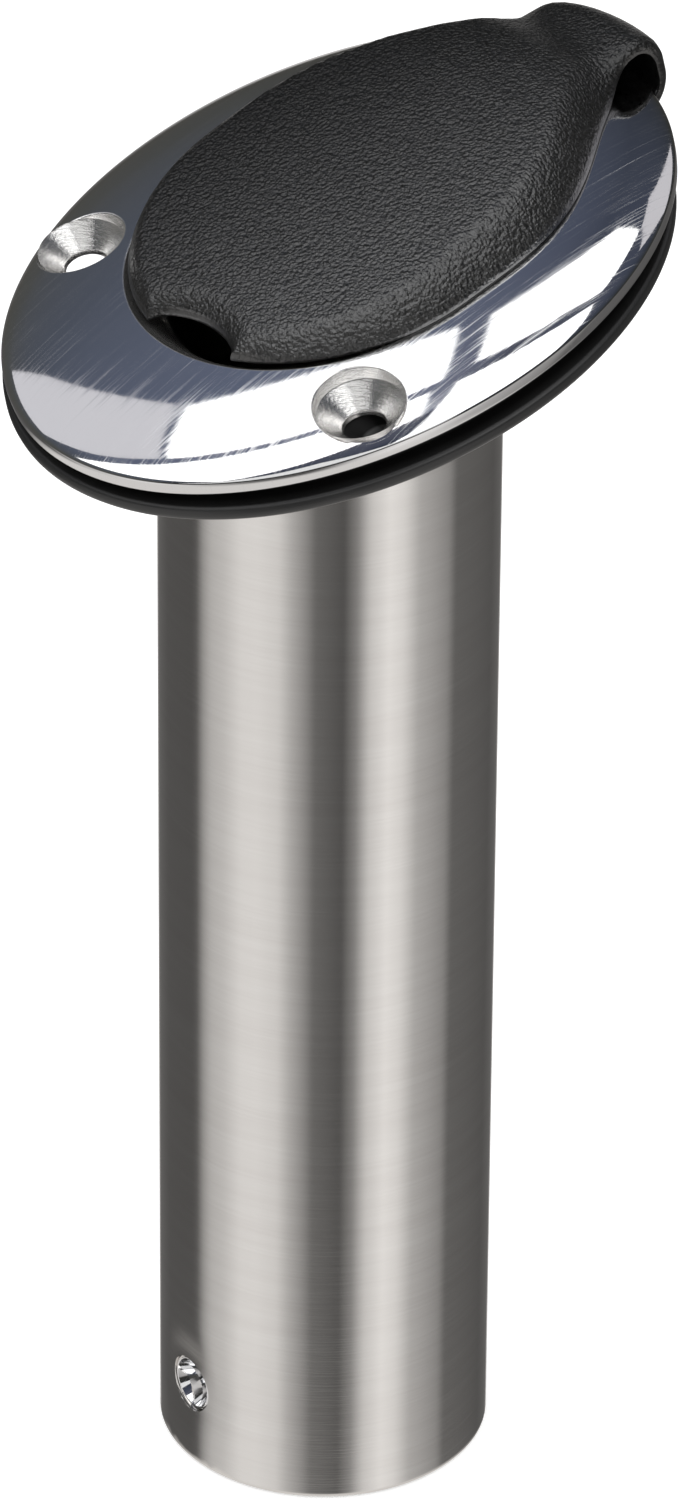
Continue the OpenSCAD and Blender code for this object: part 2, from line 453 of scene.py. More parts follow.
def grained_vinyl():
    """Black vinyl with a pressed leather grain that fades on the cap's sides, and a painted sheen on its near
    side.
    """
    made, n, shader, place = material("cap_vinyl")
    grain_share = n.new("ShaderNodeAttribute", attribute_name="grain").outputs["Fac"]
    # The cells are drawn on drifting coordinates, so no two look alike
    drift = n.new("ShaderNodeTexNoise")
    drift.inputs["Scale"].default_value = 1500.0
    n.link(place, drift.inputs["Vector"])
    reach = 0.0006
    shift = n.new("ShaderNodeVectorMath", operation="MULTIPLY_ADD")
    n.link(drift.outputs["Color"], shift.inputs[0])
    shift.inputs[1].default_value = (reach,) * 3
    shift.inputs[2].default_value = (-reach / 2,) * 3
    warped = n.new("ShaderNodeVectorMath", operation="ADD")
    n.link(place, warped.inputs[0])
    n.link(shift.outputs[0], warped.inputs[1])
    cells = n.new("ShaderNodeTexVoronoi", feature="SMOOTH_F1")
    cells.inputs["Scale"].default_value = 2100.0
    cells.inputs["Smoothness"].default_value = 0.6
    n.link(warped.outputs[0], cells.inputs["Vector"])
    pebble = n.math("SUBTRACT", 1.0, cells.outputs["Distance"])
    crease = n.noise(warped.outputs[0], 1600.0, 3.0, 0.6)
    grain = n.math("MULTIPLY_ADD", crease, 0.9, pebble)
    grain = n.math("MULTIPLY", grain, grain_share)
    embossed = n.bump(grain, 0.9, 0.00026)
    n.link(embossed, shader.inputs["Normal"])
    n.link(embossed, shader.inputs["Coat Normal"])
    worn = n.ramp(pebble, [(0.35, (0.002, 0.002, 0.002)), (0.9, (0.009, 0.0088, 0.0085))])
    n.link(worn, shader.inputs["Base Color"])
    rough = n.math("MULTIPLY_ADD", crease, 0.16, 0.22)
    n.link(rough, shader.inputs["Roughness"])
    # Painted sheen: the near side is made glossier than the far, high side, so it shows lighter
    near = n.along(place, -0.35 * ALONG - ACROSS)
    near_sheen = n.math("MULTIPLY_ADD", near, 24.0, 0.55, clamp=True)
    n.link(n.math("MULTIPLY_ADD", near_sheen, 0.6, 0.4), shader.inputs["Specular IOR Level"])
    n.link(n.math("MULTIPLY", near_sheen, 0.9), shader.inputs["Coat Weight"])
    shader.inputs["Coat Roughness"].default_value = 0.25
    return made


POLISHED = polished_steel()
TURNED = turned_steel()
BRUSHED = brushed_steel()
WELD = weld_steel()
SMOOTH = smooth_vinyl()
GRAINED = grained_vinyl()


# ---------------------------------------------------------------------------
# Flange
# ---------------------------------------------------------------------------


def dome(xy):
    """Height of the flange's top."""
    u2 = ((xy[:, 0] - FLANGE_X) / HALF_L) ** 2 + (xy[:, 1] / HALF_W) ** 2
    return RIM_H + DOME_RISE * np.clip(1 - u2, 0, 1) ** DOME_POWER


def dome_normals(xy):
    """Unit normals of the dome, from its slope."""
    dx, dy = (xy[:, 0] - FLANGE_X) / HALF_L, xy[:, 1] / HALF_W
    left = np.clip(1 - dx**2 - dy**2, 1e-3, 1)
    fall = 2 * DOME_POWER * DOME_RISE * left ** (DOME_POWER - 1)
    n = np.stack([fall * dx / HALF_L, fall * dy / HALF_W, np.ones(len(xy))], 1)
    return n / np.linalg.norm(n, axis=1, keepdims=True)


def flange_ring(u, h):
    """Ring at a share of the flange's oval."""
    return at_height(loop_xy(FLANGE_X, HALF_L * u, HALF_W * u, OVAL_STEPS), h)


def inset_ring(inset, h):
    """Ring set in from the flange's outline by an equal distance."""
    return at_height(loop_xy(FLANGE_X, HALF_L - inset, HALF_W - inset, OVAL_STEPS), h)


def sink_rings(x, y):
    """Rings from the dome down a countersink: eased lip, wall, cone, hole."""
    ease = 0.3
    turn = loop_xy(0, 1, 1, 72)
    here = np.array([x, y])
    rings = []
    for a in np.radians([0, 22, 45, 68, 90]):
        r = SINK_R + ease * (1 - math.sin(a))
        xy = here + turn * r
        rings.append(at_height(xy, dome(xy) - ease * (1 - math.cos(a))))
    for r, h in [
        (SINK_R - 0.02, SINK_TOP + 0.15),
        (SINK_R - 0.15, SINK_TOP - 0.05),
        (SCREW_R + 0.12, SINK_LAND + 0.08),
        (SCREW_R, SINK_LAND - 0.1),
        (SCREW_R, 0.0),
    ]:
        rings.append(at_height(here + turn * r, h))
    return rings


def mouth_rings():
    """Rings from the dome down the flare and the bore to the underside."""
    ease = 0.35
    steps = 144
    bore_w = BORE_R + 0.3
    bore_l = bore_w / math.cos(LEAN)
    rings = []
    for a in np.radians([0, 22, 45, 68]):
        grow = ease * (1 - math.sin(a))
        xy = loop_xy(MOUTH_X, MOUTH_HALF_L + grow, MOUTH_HALF_W + grow, steps)
        rings.append(at_height(xy, dome(xy) - ease * (1 - math.cos(a))))
    for t in (0.12, 0.4, 0.7, 1.0):
        h = MOUTH_TOP * (1 - t)
        centre = MOUTH_X + (h * math.tan(LEAN) - MOUTH_X) * t
        half_l = MOUTH_HALF_L + (bore_l - MOUTH_HALF_L) * t
        half_w = MOUTH_HALF_W + (bore_w - MOUTH_HALF_W) * t
        rings.append(at_height(loop_xy(centre, half_l, half_w, steps), h))
    return rings


def make_flange():
    """Domed plate: polished on top and round the rim, turned in its holes."""
    polished, turned = 0, 1
    shape = Shape()
    sinks = [sink_rings(x, y) for x, y in SCREWS]
    mouth = mouth_rings()
    outline = flange_ring(EDGE_U, 0)[:, :2]
    holes = [mouth[0][:, :2]] + [rings[0][:, :2] for rings in sinks]
    flat, faces = patch(outline, holes, 1.3)
    shape.add(at_height(flat, dome(flat)), faces, polished)
    edge = []
    for a in np.linspace(math.acos(EDGE_U), 0, 10):
        u = math.cos(a)
        edge.append(flange_ring(u, RIM_H + DOME_RISE * (1 - u * u) ** DOME_POWER))
    edge[0][:, 2] = dome(edge[0][:, :2])
    for inset, h in [(0.0, 1.2), (0.0, 0.6), (0.04, 0.28), (0.16, 0.08), (0.4, 0.0)]:
        edge.append(inset_ring(inset, h))
    shape.rings(edge, polished)
    for rings in [*sinks, mouth]:
        shape.rings(rings, turned)
    under = edge[-1][:, :2]
    holes = [mouth[-1][:, :2]] + [rings[-1][:, :2] for rings in sinks]
    flat, faces = patch(under, holes, 4)
    shape.add(at_height(flat, 0.0), faces, turned)
    piece = shape.build("flange_plate", [POLISHED, TURNED])
    polish_normals(piece)
    return piece


def polish_normals(piece):
    """Gives the dome the exact normals of its curve, so reflections stay clean."""
    mesh = piece.data
    co = from_row([v.co for v in mesh.vertices])
    u = np.hypot((co[:, 0] - FLANGE_X) / HALF_L, co[:, 1] / HALF_W)
    on_dome = (abs(co[:, 2] - dome(co[:, :2])) < 2e-3) & (u < EDGE_U + 1e-3)
    exact = dome_normals(co[:, :2])
    exact = exact[:, :1] * ALONG + exact[:, 1:2] * ACROSS + exact[:, 2:3] * UP
    corner = np.empty(len(mesh.loops) * 3)
    mesh.corner_normals.foreach_get("vector", corner)
    corner = corner.reshape(-1, 3)
    vertex = np.empty(len(mesh.loops), int)
    mesh.loops.foreach_get("vertex_index", vertex)
    faces_up = np.sum(corner * exact[vertex], 1) > 0.6
    use = on_dome[vertex] & faces_up
    corner[use] = exact[vertex][use]
    mesh.normals_split_custom_set(corner)


flange = make_flange()
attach(flange, "holder")
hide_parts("flange")


# ---------------------------------------------------------------------------
# Tube, weld and stop pin. These are built in the row's own axes.
# ---------------------------------------------------------------------------


def from_upright(points):
    """Points along the row's axes, in millimetres, in the flange's frame."""
    return from_row(np.asarray(points, float) * MM)


def turned_by(angle, points):
    """Points turned about the tube's axis."""
    x, y, z = np.asarray(points, float).T
    c, d = math.cos(angle), math.sin(angle)
    return np.column_stack([c * x - d * y, d * x + c * y, z])


def mitre(theta, r):
    """Height of the flange's underside above a point of the tube's wall."""
    return r * np.cos(theta) * math.tan(LEAN)


def wall_sheet(shape, radius, low, dent):
    """One face of the tube's wall, with its two pin holes, which lie in shallow
    dents. It is laid out flat, s along the girth, and rolled up. Returns the
    edges of the holes."""
    girth = 2 * math.pi * radius
    s = np.arange(TUBE_COLUMNS + 1) / TUBE_COLUMNS * girth
    top = mitre(s / radius - math.pi / 2, radius)
    levels = np.concatenate([[low + 0.4], np.linspace(low, top[0], TUBE_ROWS)[1:-1]])
    outline = np.concatenate([
        np.column_stack([s, np.full(len(s), low)]),
        np.column_stack([np.full(len(levels), girth), levels]),
        np.column_stack([s, top])[::-1],
        np.column_stack([np.zeros(len(levels)), levels])[::-1],
    ])
    middles = np.array([girth / 4, 3 * girth / 4]) + radius * PIN_TURN
    t = np.arange(PIN_HOLE_STEPS) * 2 * math.pi / PIN_HOLE_STEPS
    across = radius * np.arcsin(PIN_HOLE_R * np.cos(t) / radius)
    holes = [np.column_stack([m + across, PIN_Z + PIN_HOLE_R * np.sin(t)]) for m in middles]

    # Rings of points round each hole, and an even grid over the rest
    near = []
    reach, spokes = 14.0, 48
    for middle in middles:
        for k, r in enumerate(np.arange(PIN_HOLE_R + 0.7, reach, 0.9)):
            t = (np.arange(spokes) + 0.5 * (k % 2)) * 2 * math.pi / spokes
            ring = np.column_stack([middle + r * np.cos(t), PIN_Z + r * np.sin(t)])
            near.append(ring[ring[:, 1] > low + 0.5])
    inner_s = s[1:-1]
    grid = [np.column_stack([inner_s, np.full(len(inner_s), z)])
            for z in [low + 0.4, *np.linspace(low, 0, TUBE_ROWS)[1:]]]
    tall = top[1:-1] > 1.2
    for share in (0.25, 0.5, 0.75):
        grid.append(np.column_stack([inner_s, top[1:-1] * share])[tall])
    grid = np.concatenate(grid)
    grid = grid[grid[:, 1] < np.interp(grid[:, 0], s, top) - 0.6]
    off = abs(grid[:, :1] - middles).min(1)
    grid = grid[np.hypot(off, grid[:, 1] - PIN_Z) > reach + 0.2]

    def rolled(flat):
        theta = flat[:, 0] / radius - math.pi / 2
        off = abs(flat[:, :1] - middles).min(1)
        away = np.maximum(np.hypot(off, flat[:, 1] - PIN_Z) - PIN_R, 0)
        r = radius - dent * np.exp(-((away / 3.2) ** 2))
        return from_upright(np.column_stack([r * np.cos(theta), r * np.sin(theta), flat[:, 1]]))

    flat, faces = triangulate(outline, holes, np.concatenate([*near, grid]))
    shape.add(rolled(flat), faces)
    return [rolled(hole) for hole in holes]


def make_tube():
    """Tube with a mitred top, an eased foot and a hole at each end of the pin."""
    shape = Shape()
    bevel = 0.2
    low = TUBE_FOOT + bevel
    outer_holes = wall_sheet(shape, TUBE_R, low, dent=0.15)
    inner_holes = wall_sheet(shape, BORE_R, low, dent=0.0)
    for outer_edge, inner_edge in zip(outer_holes, inner_holes):
        shape.rings([outer_edge, inner_edge])
    theta = np.arange(TUBE_COLUMNS) * 2 * math.pi / TUBE_COLUMNS - math.pi / 2
    turn = np.column_stack([np.cos(theta), np.sin(theta)])

    def ring(r, z):
        return from_upright(np.column_stack([turn * r, np.broadcast_to(z, len(turn))]))

    foot = [ring(TUBE_R, low)]
    for a in np.radians([30, 60, 90]):
        foot.append(ring(TUBE_R - bevel * (1 - math.cos(a)), low - bevel * math.sin(a)))
    foot += [ring(BORE_R + bevel, TUBE_FOOT), ring(BORE_R, low)]
    shape.rings(foot)
    shape.rings([ring(BORE_R, mitre(theta, BORE_R)), ring(TUBE_R, mitre(theta, TUBE_R))])
    return shape.build("tube_wall", [BRUSHED], sharp_deg=40, weld=0.01)


tube = make_tube()
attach(tube, "holder")
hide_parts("tube")


def make_weld():
    """A bead of overlapping ripples round the tube, under the flange."""
    shape = Shape()
    n = 360
    leg = 1.8
    ripples = 80
    t = np.arange(n) * 2 * math.pi / n
    ripple = 0.18 * abs(np.sin(t * ripples / 2)) ** 0.7
    rings = []
    for a in np.radians([-90, -50, -10, 30, 60, 90, 150, 210]):
        out = TUBE_R - 0.1 + (leg * 0.55 + ripple) * (1 + math.cos(a)) / 1.55
        drop = -leg * 0.5 + (leg * 0.5) * math.sin(a)
        x = out * np.cos(t) / math.cos(LEAN) + drop * math.tan(LEAN)
        rings.append(np.column_stack([x, out * np.sin(t), np.full(n, drop)]))
    rings.append(rings[0])
    shape.rings(rings)
    return shape.build("weld_bead", [WELD])


weld = make_weld()
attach(weld, "holder")
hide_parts("weld_fillet")


def make_pin():
    """Hollow stop pin. Its ends are rolled over and its bore narrows inward."""
    shape = Shape()
    n = 72
    t = np.arange(n) * 2 * math.pi / n
    half = PIN_HALF - 0.2
    # Distance in from the end, and radius: out along the pin and back in its bore
    end = [
        (2.0, PIN_R), (1.2, PIN_R - 0.02), (0.7, PIN_R + 0.05), (0.35, PIN_R + 0.02), (0.1, PIN_R - 0.18),
        (0.0, PIN_R - 0.42), (0.06, PIN_R - 0.55), (1.2, PIN_R - 1.0), (3.2, PIN_R - PIN_WALL),
    ]
    profile = [(d - half, r) for d, r in end[::-1]] + [(half - d, r) for d, r in end]
    rings = []
    for x, r in profile:
        circle = np.column_stack([np.full(n, x), r * np.cos(t), PIN_Z + r * np.sin(t)])
        rings.append(from_upright(turned_by(PIN_TURN, circle)))
    rings.append(rings[0])
    shape.rings(rings)
    return shape.build("stop_pin", [POLISHED])


pin = make_pin()
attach(pin, "holder")
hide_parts("cross_pin")


# ---------------------------------------------------------------------------
# Gasket
# ---------------------------------------------------------------------------


def make_gasket():
    """Moulded ring: a narrow neck under the flange, and a rounded lip below it."""
    shape = Shape()
    top, bottom = -0.02, GASKET_H + 0.01
    # How far in from the outline, and height
    neck = [(3.6, top), (3.4, -0.1), (3.3, -0.5), (3.2, -1.3), (2.9, -1.6)]
    lip = [
        (0.7, -1.72), (0.25, -1.85), (0.04, -2.15), (0.0, -2.9),
        (0.1, -3.35), (0.4, -3.72), (0.9, -3.94), (1.5, bottom),
    ]
    outer = []
    for inset, h in neck + lip:
        xy = loop_xy(GASKET_X, GASKET_HALF_L - inset, GASKET_HALF_W - inset, 216)
        outer.append(at_height(xy, h))
    shape.rings(outer)
    inner = []
    ease = 0.3
    for h, grow in ((top, ease), (-ease, 0.0), (GASKET_H + ease, 0.0), (bottom, ease)):
        r = TUBE_R + 2.5 + grow
        inner.append(at_height(loop_xy(h * math.tan(LEAN), r / math.cos(LEAN), r, 144), h))
    shape.rings(inner, flip=True)
    screws = []
    for x, y in SCREWS:
        # The single hole on the long axis doesn't slant
        slant = np.array([GASKET_SLANT_X * abs(np.sign(y)), GASKET_SLANT_Y * np.sign(y)])
        wall = []
        for h, share in ((top, 0.0), (bottom, 1.0)):
            r = GASKET_SCREW_R + GASKET_SCREW_GROW * share
            off = slant * share
            wall.append(at_height(loop_xy(x + off[0], r, r, 48, y + off[1]), h))
        shape.rings(wall, flip=True)
        screws.append(wall)
    for level in (0, -1):
        holes = [inner[level][:, :2]] + [wall[level][:, :2] for wall in screws]
        flat, faces = patch(outer[level][:, :2], holes, 4)
        shape.add(at_height(flat, outer[level][0][2]), faces)
    return shape.build("gasket_ring", [SMOOTH], sharp_deg=50)


gasket = make_gasket()
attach(gasket, "holder")
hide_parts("gasket")


# ---------------------------------------------------------------------------
# Cap and strap: one moulding. It is drawn flat, with S along its length, and
# the part of S beyond the hinge is wrapped over the rim and in to the gasket.
# ---------------------------------------------------------------------------

# The strap's thickness, its turn over the rim, its straight leg outside the rim
# and its turn below it, and how far its tail then runs in
LOOP_THICK = 1.8
LOOP_R = 4.5
LEG = 2.0
LOWER_R = 4.6
TAIL = 1.2
TAIL_S = hinge[0] + LOOP_R * math.pi / 2 + LEG + LOWER_R * math.pi / 2 + TAIL
# Length and power of each side's taper from the cap to the strap
NEAR_TAPER = (44.0, 1.74)
FAR_TAPER = (50.0, 1.4)
# Height of the cap's top along its length: S and height
PLATEAU = [
    (-27, 8.2), (-20, 9.2), (-12, 10.3), (-4, 11.0), (4, 11.6), (12, 12.1),
    (20, 12.5), (28, 12.6), (34, 12.1), (40, 10.9), (46, 9.3),
]
# Width of the bevel round the cap's top, and height of its edge above the dome,
# each by S
BEVEL = [(-27, 2.6), (-10, 3.4), (5, 4.4)]
EDGE_RISE = [(-27, 0.9), (0, 1.2), (30, 2.0)]
# Where the cap's top, underside and sides turn into the strap's: start and length
TOP_TURN = (37.5, 11)
BOTTOM_TURN = (39.5, 8)
SIDE_TURN = (38, 14)
# The strap falls to the far side by this slope
STRAP_TILT = 0.05


def cap_half(s, taper):
    """Half width of the moulding's outline at s, beyond the low end's oval."""
    length, power = taper
    t = np.clip((s - CAP_CENTRE_X) / length, 0, 1) ** power
    return CAP_HALF_W - (CAP_HALF_W - STRAP_HALF_W) * smoothstep(t)


def half_at(s, y):
    """Half width at s, on the side of the outline where y lies."""
    return np.where(y < 0, cap_half(s, NEAR_TAPER), cap_half(s, FAR_TAPER))


def cap_outline():
    """Closed outline from the tail's near corner: up the near side to the low
    end's oval, across its finger notch and back along the far side."""
    side_s = np.concatenate([
        np.linspace(TAIL_S, hinge[0], 46, endpoint=False),
        np.linspace(hinge[0], CAP_CENTRE_X, 64, endpoint=False),
    ])
    near_side = np.column_stack([side_s, -cap_half(side_s, NEAR_TAPER)])
    far_side = np.column_stack([side_s, cap_half(side_s, FAR_TAPER)])[::-1]
    low = CAP_LOW + CAP_CENTRE_X
    a = np.linspace(-math.pi / 2, -3 * math.pi / 2, 121)
    oval = np.column_stack([CAP_CENTRE_X + low * np.cos(a), CAP_HALF_W * np.sin(a)])
    near_oval = oval[oval[:, 1] < NOTCH_Y - NOTCH_HALF]
    far_oval = oval[oval[:, 1] > NOTCH_Y + NOTCH_HALF]
    start = near_oval[-1]
    across = far_oval[0] - start
    inward = np.array([across[1], -across[0]]) / np.linalg.norm(across)
    inward *= np.sign(inward[0])
    t = np.linspace(0, 1, 22)[1:-1]
    bite = NOTCH_DEPTH * (1 - (2 * t - 1) ** 2) ** 0.62
    notch = start + np.outer(t, across) + np.outer(bite, inward)
    return np.concatenate([near_side, near_oval, notch, far_oval, far_side])


def edge_distance(s, y):
    """How far each point lies inside the moulding's outline, by the outline's
    points and the middles between them."""
    points = np.column_stack([s, y])
    dense = np.concatenate([OUTLINE, (OUTLINE + np.roll(OUTLINE, -1, 0)) / 2])
    return np.array([np.hypot(*(dense - p).T).min() for p in points])


def strap_share(s, turn):
    """How far the cap has turned into the strap at s, from 0 to 1."""
    start, length = turn
    return smoothstep((s - start) / length)


def dome_below(s, y):
    """Height of the flange under the moulding, held constant near its high end."""
    held_from = 44
    return dome(np.column_stack([np.minimum(s, held_from), y]))


def top_height(s, y, inset=None):
    """Height of the moulding's top before it is wrapped: a crowned plateau
    with a rounded bevel that runs down to a thin edge."""
    if inset is None:
        inset = edge_distance(s, y)
    share = abs(y) / np.maximum(half_at(s, y), 1)
    crown = 0.7
    plateau = np.interp(s, *zip(*PLATEAU)) - crown * share**2
    edge = dome_below(s, y) + np.interp(s, *zip(*EDGE_RISE))
    bevel = np.interp(s, *zip(*BEVEL))
    # The far side's bevel is steeper
    bevel = np.where(y < 0, bevel, bevel * (1 - 0.3 * smoothstep(y / 8)))
    climb = 1 - (1 - np.clip(inset / bevel, 0, 1)) ** 1.7
    body = edge + (plateau - edge) * climb
    # The strap is flat. Its far side droops and its edges are eased
    flat = hinge[2] + LOOP_R - STRAP_TILT * y - 0.012 * np.maximum(y - 3, 0) ** 2
    flat = flat - 0.5 * (1 - np.clip(inset / 1.4, 0, 1)) ** 2
    w = strap_share(s, TOP_TURN)
    return body * (1 - w) + flat * w


def bottom_height(s, y):
    """Underside: it follows the dome, then lifts off towards the strap."""
    gap = 0.06
    rest = dome_below(s, y) + gap
    lifted = hinge[2] + LOOP_R - LOOP_THICK - STRAP_TILT * y
    w = strap_share(s, BOTTOM_TURN)
    return rest * (1 - w) + lifted * w


def wrap(points):
    """Bends the flat drawing over the rim: down outside it, then in below it."""
    s, y, h = np.asarray(points, float).T
    over = s - hinge[0]
    # Over the rim, about the hinge
    r = h - hinge[2]
    a = np.clip(over / LOOP_R, 0, math.pi / 2)
    x = np.where(over > 0, hinge[0] + r * np.sin(a), s)
    z = np.where(over > 0, hinge[2] + r * np.cos(a), h)
    # Straight down outside the rim
    over = over - LOOP_R * math.pi / 2
    z = z - np.clip(over, 0, LEG)
    # In below the rim
    over = over - LEG
    r = r + LOWER_R - LOOP_R
    b = np.clip(over / LOWER_R, 0, math.pi / 2)
    x = np.where(b > 0, hinge[0] + LOOP_R - LOWER_R + r * np.cos(b), x)
    z = np.where(b > 0, hinge[2] - LEG - r * np.sin(b), z)
    tail = np.clip(over - LOWER_R * math.pi / 2, 0, None)
    # The loop keeps to the oval rim, so its sides sit further in than its middle
    rim_fall = HALF_L * (1 - np.sqrt(1 - (y / HALF_W) ** 2))
    return np.column_stack([x - tail - rim_fall * strap_share(s, SIDE_TURN), y, z])


def inward_normals(loop):
    """Unit normals of a closed loop, pointing inside, whichever way it runs."""
    ahead, behind = np.roll(loop, -1, 0), np.roll(loop, 1, 0)
    along = ahead - behind
    n = np.column_stack([-along[:, 1], along[:, 0]])
    n /= np.linalg.norm(n, axis=1, keepdims=True)
    area = np.sum(loop[:, 0] * ahead[:, 1] - ahead[:, 0] * loop[:, 1])
    return n if area > 0 else -n


OUTLINE = cap_outline()


def make_moulding():
    """Cap, strap and plug ring as one mesh."""
    shape = Shape()
    inward = inward_normals(OUTLINE)
    s, y = OUTLINE.T
    base = bottom_height(s, y)
    # Rings up the outer edge: round below, upright, and round above by this radius
    rim = 0.45
    wall_top = np.maximum(top_height(s, y, 0 * s) - rim, base + 0.3)
    rings = []
    for inset, lift in ((0.5, 0.0), (0.12, 0.03), (0.0, 0.15)):
        xy = OUTLINE + inward * inset
        rings.append(at_height(xy, bottom_height(*xy.T) + lift))
    rings.append(np.column_stack([OUTLINE, (base + 0.15 + wall_top) / 2]))
    rings.append(np.column_stack([OUTLINE, wall_top]))
    for a in np.radians([22, 45, 68, 90]):
        inset = rim * (1 - math.cos(a))
        xy = OUTLINE + inward * inset
        full = top_height(*xy.T, inset + 0 * s)
        rings.append(at_height(xy, wall_top + (full - wall_top) * math.sin(a)))
    shape.rings([wrap(ring) for ring in rings])
    for ring, height, spacing in ((rings[-1], top_height, 0.95), (rings[0], bottom_height, 1.6)):
        flat, faces = patch(ring[:, :2], [], spacing)
        shape.add(wrap(at_height(flat, height(*flat.T))), faces)
    plug_ring(shape)
    piece = shape.build("cap_moulding", [GRAINED], sharp_deg=60)
    grain_attribute(piece)
    return piece


def plug_ring(shape):
    """Ring under the cap, in line with the tube, that plugs the mouth."""
    turn = loop_xy(0, 1, 1, 144)
    inner = PLUG_R - PLUG_WALL

    def ring(r, z):
        return from_upright(np.column_stack([turn * r, np.full(len(turn), z)]))

    def up_to_cap(r):
        z = PLUG_TOP / math.cos(LEAN) + r * turn[:, 0] * math.tan(LEAN)
        return from_upright(np.column_stack([turn * r, z]))

    # Each lower corner is eased: how far in from the face, and up from the foot
    corner = [(0.0, 0.5), (0.15, 0.15), (0.5, 0.0)]
    down = [ring(PLUG_R - d, PLUG_FOOT + up) for d, up in corner]
    back_up = [ring(inner + d, PLUG_FOOT + up) for d, up in corner[::-1]]
    shape.rings([up_to_cap(PLUG_R), *down, *back_up, up_to_cap(inner), up_to_cap(PLUG_R)])


def grain_attribute(piece):
    """How strong the leather grain is: full on top, faded down the far side and
    gone below the strap's loop."""
    mesh = piece.data
    co = from_row([v.co for v in mesh.vertices])
    normal = np.array([tuple(v.normal) for v in mesh.vertices])
    up = normal @ UP
    away = normal @ ACROSS * 0.8 - normal @ ALONG * 0.5
    top_share = smoothstep((up - 0.45) / 0.35)
    near_share = smoothstep((0.25 - away) / 0.5)
    value = 0.08 + 0.92 * np.maximum(top_share, near_share * smoothstep((up + 0.15) / 0.3))
    value *= 1 - 0.85 * smoothstep((co[:, 0] - hinge[0] - 1.5) / 2.0)
    attribute = mesh.attributes.new("grain", "FLOAT", "POINT")
    attribute.data.foreach_set("value", value.astype(np.float32))


moulding = make_moulding()
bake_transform(moulding)
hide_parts("cap", "strap", "strap_root")


# ---------------------------------------------------------------------------
# Studio: pale floor, soft even light, and white and grey cards for the steel
# to reflect. The cards show only in reflections.
# ---------------------------------------------------------------------------


def srgb(*values):
    """Display values from 0 to 255 as linear light."""
    v = np.array(values, float) / 255
    return tuple(np.where(v < 0.04045, v / 12.92, ((v + 0.055) / 1.055) ** 2.4))


def make_floor():
    """Pale floor, just below the tube's foot. It doesn't show in reflections."""
    half = 6.0
    steps = 24
    gap = 0.0002
    z = TUBE_FOOT * MM - gap
    axis = np.linspace(-half, half, steps + 1)
    points = [(x, y, z) for y in axis for x in axis]
    faces = []
    for j in range(steps):
        for i in range(steps):
            a = j * (steps + 1) + i
            faces.append((a, a + 1, a + steps + 2, a + steps + 1))
    mesh = bpy.data.meshes.new("floor")
    mesh.from_pydata(points, [], faces)
    made, n, shader, place = material("floor")
    soft = n.noise(place, 3.0, 1.0)
    n.link(n.ramp(soft, [(0.2, 0.93), (0.8, 0.95)]), shader.inputs["Base Color"])
    shader.inputs["Roughness"].default_value = 0.9
    shader.inputs["Specular IOR Level"].default_value = 0.0
    shader.inputs["Emission Color"].default_value = (1, 1, 1, 1)
    shader.inputs["Emission Strength"].default_value = 0.35
    mesh.materials.append(made)
    floor = bpy.data.objects.new("floor", mesh)
    bpy.context.scene.collection.objects.link(floor)
    floor.visible_glossy = False


WHITE = (1.7, 1.7, 1.7)
# Flat cards overhead, seen only in reflections: name, height, colour and corners.
# A corner is a direction from the part, as metres along X and Y for each metre up
CARDS = [
    ("card_main", 4.0, WHITE, [
        (0.0, 0.70), (-0.289, 0.516), (-0.10, 0.37), (0.105, 0.255), (0.215, 0.45), (0.128, 0.561),
    ]),
    ("card_left", 4.0, WHITE, [
        (-0.30, 0.44), (-0.13, 0.345), (0.07, 0.22), (-0.03, 0.0), (-1.2, -0.3), (-1.3, 1.2),
        (-0.69, 0.745),
    ]),
    ("card_right", 4.0, WHITE, [
        (0.245, 0.42), (0.485, 0.36), (0.584, 0.19), (0.43, -0.03), (0.30, 0.11), (0.15, 0.24),
    ]),
    ("card_back", 4.0, WHITE, [
        (0.10, 0.18), (0.25, 0.06), (0.40, -0.10), (0.6, -1.2), (-0.5, -1.2), (-0.01, -0.02),
    ]),
    ("card_front", 3.9, srgb(236, 236, 236), [
        (-0.5, -0.35), (-1.25, -0.32), (-2.4, -0.2), (-1.6, -1.6), (-0.2, -2.4), (0.0, -1.25),
        (-0.5, -1.2),
    ]),
    ("card_grey", 4.0, srgb(212, 211, 216), [
        (0.0, 0.72), (-0.30, 0.53), (-0.51, 0.80), (-0.9, 1.6), (-0.234, 2.344), (-0.04, 1.265),
    ]),
    ("card_end", 4.0, srgb(205, 203, 207), [
        (0.60, 0.19), (0.66, 0.32), (1.6, 0.5), (1.8, -0.3), (0.7, -0.1),
    ]),
]


def make_card(name, height, colour, corners):
    """A glowing card that only reflections show."""
    mesh = bpy.data.meshes.new(name)
    points = [(x * height, y * height, height) for x, y in corners]
    mesh.from_pydata(points, [], [tuple(range(len(points)))])
    made = bpy.data.materials.new(name)
    made.use_nodes = True
    n = Nodes(made.node_tree)
    glow = n.new("ShaderNodeEmission")
    glow.inputs["Color"].default_value = (*colour, 1)
    n.link(glow.outputs[0], made.node_tree.nodes["Material Output"].inputs["Surface"])
    mesh.materials.append(made)
    piece = bpy.data.objects.new(name, mesh)
    bpy.context.scene.collection.objects.link(piece)
    piece.visible_camera = False
    piece.visible_diffuse = False
    piece.visible_shadow = False


# Tones that the tube reflects, by direction round it: degrees and display value
TONES = [
    (-180, 214), (-165, 204), (-156, 170), (-146, 134), (-140, 100), (-121, 78), (-112, 128),
    (-103, 196), (-90, 224), (-80, 212), (-68, 168), (-44, 132), (-37, 94), (10, 80), (34, 96),
    (41, 190), (56, 190), (64, 96), (90, 79), (124, 77), (129, 86), (136, 150), (143, 176),
    (154, 188), (168, 212), (180, 214),
]


